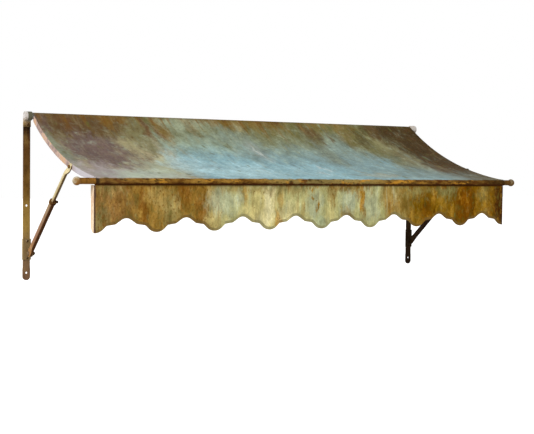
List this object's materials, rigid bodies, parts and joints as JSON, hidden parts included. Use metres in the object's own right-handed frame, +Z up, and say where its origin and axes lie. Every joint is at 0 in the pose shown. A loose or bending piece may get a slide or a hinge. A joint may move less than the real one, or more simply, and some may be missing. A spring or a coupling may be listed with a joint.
{
  "type": "awning",
  "caption": "Curved sheet metal awning on a wall frame: rolled edges over round rods, a scalloped front valance, flat wall straps and diagonal struts.",
  "frame": {"origin": "on the wall plane, midway between the two straps, level with the straps' lower ends", "axes": "+X along the awning to the right as seen from the street, +Y into the wall, +Z up; the front faces -Y"},
  "size_m": [1.7296, 0.5689, 0.5625],
  "materials": {
    "canopy_patina": "weathered sheet with pale blue-green and brown patina",
    "valance_patina": "weathered sheet, ochre with rust runs",
    "rod_iron": "rusted, dull",
    "rod_end_iron": "worn bright at the end",
    "finial_iron": "worn smooth",
    "strap_iron": "rusted, dull",
    "rivet_iron": "rusted, worn on the crown",
    "foot_iron": "rusted, dull",
    "strut_iron": "rusted, worn",
    "collar_iron": "rusted, dark"
  },
  "bodies": {
    "root": {"back_rod": "rod_end_iron", "canopy_sheet": "canopy_patina", "front_rod": "rod_iron", "left_collar": "collar_iron", "left_eye_rivet": "rivet_iron", "left_finial": "finial_iron", "left_foot": "foot_iron", "left_foot_rivet_lower": "rivet_iron", "left_foot_rivet_upper": "rivet_iron", "left_pivot_bolt": "rivet_iron", "left_pivot_nut": "rivet_iron", "left_set_screw": "collar_iron", "left_strap": "strap_iron", "left_strut_rivet": "collar_iron", "left_strut_rod": "strut_iron", "left_strut_tube": "strut_iron", "right_collar": "collar_iron", "right_eye_rivet": "rivet_iron", "right_finial": "finial_iron", "right_foot": "foot_iron", "right_foot_rivet_lower": "rivet_iron", "right_foot_rivet_upper": "rivet_iron", "right_pivot_bolt": "rivet_iron", "right_pivot_nut": "rivet_iron", "right_set_screw": "collar_iron", "right_strap": "strap_iron", "right_strut_rivet": "collar_iron", "right_strut_rod": "strut_iron", "right_strut_tube": "strut_iron", "valance_sheet": "valance_patina"}
  },
  "joints": []
}
